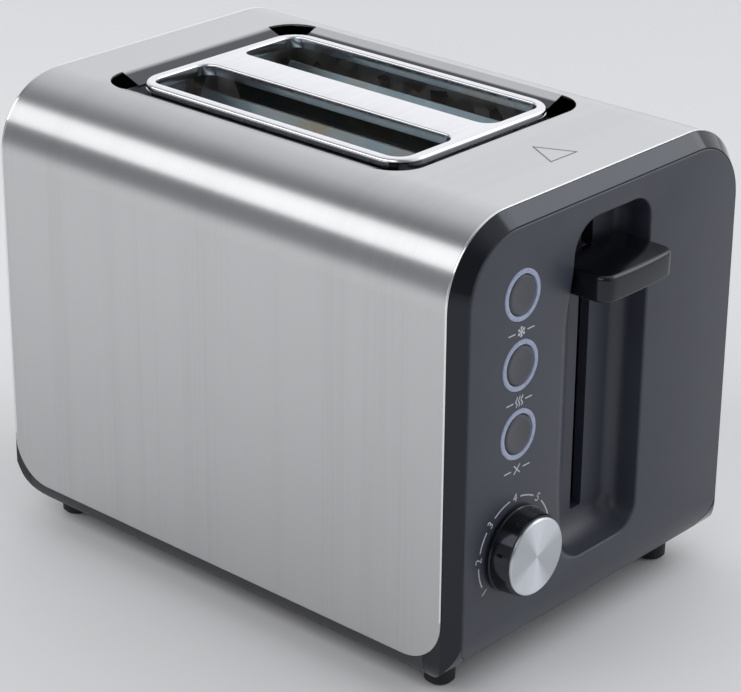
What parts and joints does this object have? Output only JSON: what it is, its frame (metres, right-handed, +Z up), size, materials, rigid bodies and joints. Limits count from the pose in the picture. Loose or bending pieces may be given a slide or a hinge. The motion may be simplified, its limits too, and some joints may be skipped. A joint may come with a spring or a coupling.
{
  "type": "pop up toaster",
  "caption": "Pop-up toaster: brushed steel wrap, dark moulded ends, bread slots in a polished frame, sprung lever, push buttons with light rings, browning dial.",
  "frame": {"origin": "on the table under the middle of the overall box", "axes": "+X along the bread slots towards the end with the controls, +Y towards the long side away from the dial, +Z up"},
  "size_m": [0.2508, 0.165, 0.184],
  "materials": {
    "brushed_steel": "fine satin grain",
    "polished_frame": "polished",
    "black_plastic": "gloss moulded",
    "slate_plastic": "satin moulded",
    "grey_plastic": "matt moulded",
    "button_plastic": "soft gloss",
    "ring_plastic": "milky, lit from behind",
    "foot_rubber": "matt",
    "zinc_sheet": "aluminised steel sheet",
    "guard_steel": "blued by heat",
    "mica_board": "layered mica",
    "winding_ribbon": "resistance ribbon",
    "machined_steel": "turned",
    "magnet_iron": "plain",
    "coil_wire": "enamelled copper",
    "board_laminate": "solder mask",
    "switch_plastic": "moulded",
    "pot_plastic": "moulded",
    "dial_metal": "spun face",
    "pale_plastic": "moulded",
    "contact_brass": "strip"
  },
  "bodies": {
    "root": {"outer_shell": "brushed_steel", "slot_frame": "polished_frame", "front_rim": "black_plastic", "front_panel": "slate_plastic", "rear_cap": "black_plastic", "base": "grey_plastic", "foot_front_left": "foot_rubber", "foot_front_right": "foot_rubber", "foot_rear_left": "foot_rubber", "foot_rear_right": "foot_rubber", "chassis_front": "zinc_sheet", "chassis_rear": "zinc_sheet", "reflector_left": "zinc_sheet", "reflector_right": "zinc_sheet", "mica_left": "mica_board", "mica_centre": "mica_board", "mica_right": "mica_board", "winding_left": "winding_ribbon", "winding_centre": "winding_ribbon", "winding_right": "winding_ribbon", "guide_rod": "machined_steel", "lift_spring": "machined_steel", "magnet_bracket": "zinc_sheet", "magnet_core": "magnet_iron", "magnet_coil": "coil_wire", "control_board": "board_laminate", "switch_defrost": "switch_plastic", "switch_reheat": "switch_plastic", "switch_cancel": "switch_plastic", "dial_pot": "pot_plastic", "ring_defrost": "ring_plastic", "ring_reheat": "ring_plastic", "ring_cancel": "ring_plastic", "contact_block": "pale_plastic", "contact_leaves": "contact_brass", "terminal_block": "pale_plastic", "cord_bush": "black_plastic", "base_screws": "machined_steel", "board_screws": "machined_steel", "rear_screws": "machined_steel"},
    "lever": {"carriage": "machined_steel", "lever_arm": "machined_steel", "lever_knob": "black_plastic", "lifter_left": "machined_steel", "lifter_right": "machined_steel", "armature": "magnet_iron"},
    "button_defrost": {"button_defrost": "button_plastic"},
    "button_reheat": {"button_reheat": "button_plastic"},
    "button_cancel": {"button_cancel": "button_plastic"},
    "dial": {"dial_shaft": "machined_steel", "dial_skirt": "black_plastic", "dial_cap": "dial_metal"},
    "tray": {"crumb_tray": "zinc_sheet", "tray_handle": "black_plastic"},
    "guard_left_outer": {"guard_left_outer": "guard_steel"},
    "guard_left_inner": {"guard_left_inner": "guard_steel"},
    "guard_right_inner": {"guard_right_inner": "guard_steel"},
    "guard_right_outer": {"guard_right_outer": "guard_steel"}
  },
  "joints": [
    {"name": "lever_slide", "type": "slide", "parent": "root", "child": "lever", "axis": [0, 0, 1], "range_m": [-0.088, 0.008], "stiffness_N_per_m": 200, "springref_m": 0.0045, "deforming": ["lift_spring"]},
    {"name": "defrost_press", "type": "slide", "parent": "root", "child": "button_defrost", "axis": [-1, 0, 0], "range_m": [0, 0.0015], "stiffness_N_per_m": 800},
    {"name": "reheat_press", "type": "slide", "parent": "root", "child": "button_reheat", "axis": [-1, 0, 0], "range_m": [0, 0.0015], "stiffness_N_per_m": 800},
    {"name": "cancel_press", "type": "slide", "parent": "root", "child": "button_cancel", "axis": [-1, 0, 0], "range_m": [0, 0.0015], "stiffness_N_per_m": 800},
    {"name": "dial_turn", "type": "hinge", "parent": "root", "child": "dial", "pos_m": [0.117, -0.0495, 0.0558], "axis": [1, 0, 0], "range_deg": [-144, 53]},
    {"name": "tray_slide", "type": "slide", "parent": "root", "child": "tray", "axis": [-1, 0, 0], "range_m": [0, 0.175]},
    {"name": "guard_left_outer_tilt", "type": "hinge", "parent": "root", "child": "guard_left_outer", "pos_m": [0, -0.0375, 0.028], "axis": [1, 0, 0], "range_deg": [-2.7, 0.3]},
    {"name": "guard_left_inner_tilt", "type": "hinge", "parent": "root", "child": "guard_left_inner", "pos_m": [0, -0.0119, 0.028], "axis": [1, 0, 0], "range_deg": [-0.3, 2.7]},
    {"name": "guard_right_inner_tilt", "type": "hinge", "parent": "root", "child": "guard_right_inner", "pos_m": [0, 0.0119, 0.028], "axis": [1, 0, 0], "range_deg": [-2.7, 0.3]},
    {"name": "guard_right_outer_tilt", "type": "hinge", "parent": "root", "child": "guard_right_outer", "pos_m": [0, 0.0375, 0.028], "axis": [1, 0, 0], "range_deg": [-0.3, 2.7]}
  ],
  "couplings": [
    {"joint": "guard_left_outer_tilt", "follows": "lever_slide", "rad_per_m": 0.516},
    {"joint": "guard_left_inner_tilt", "follows": "lever_slide", "rad_per_m": -0.516},
    {"joint": "guard_right_inner_tilt", "follows": "lever_slide", "rad_per_m": 0.516},
    {"joint": "guard_right_outer_tilt", "follows": "lever_slide", "rad_per_m": -0.516}
  ]
}
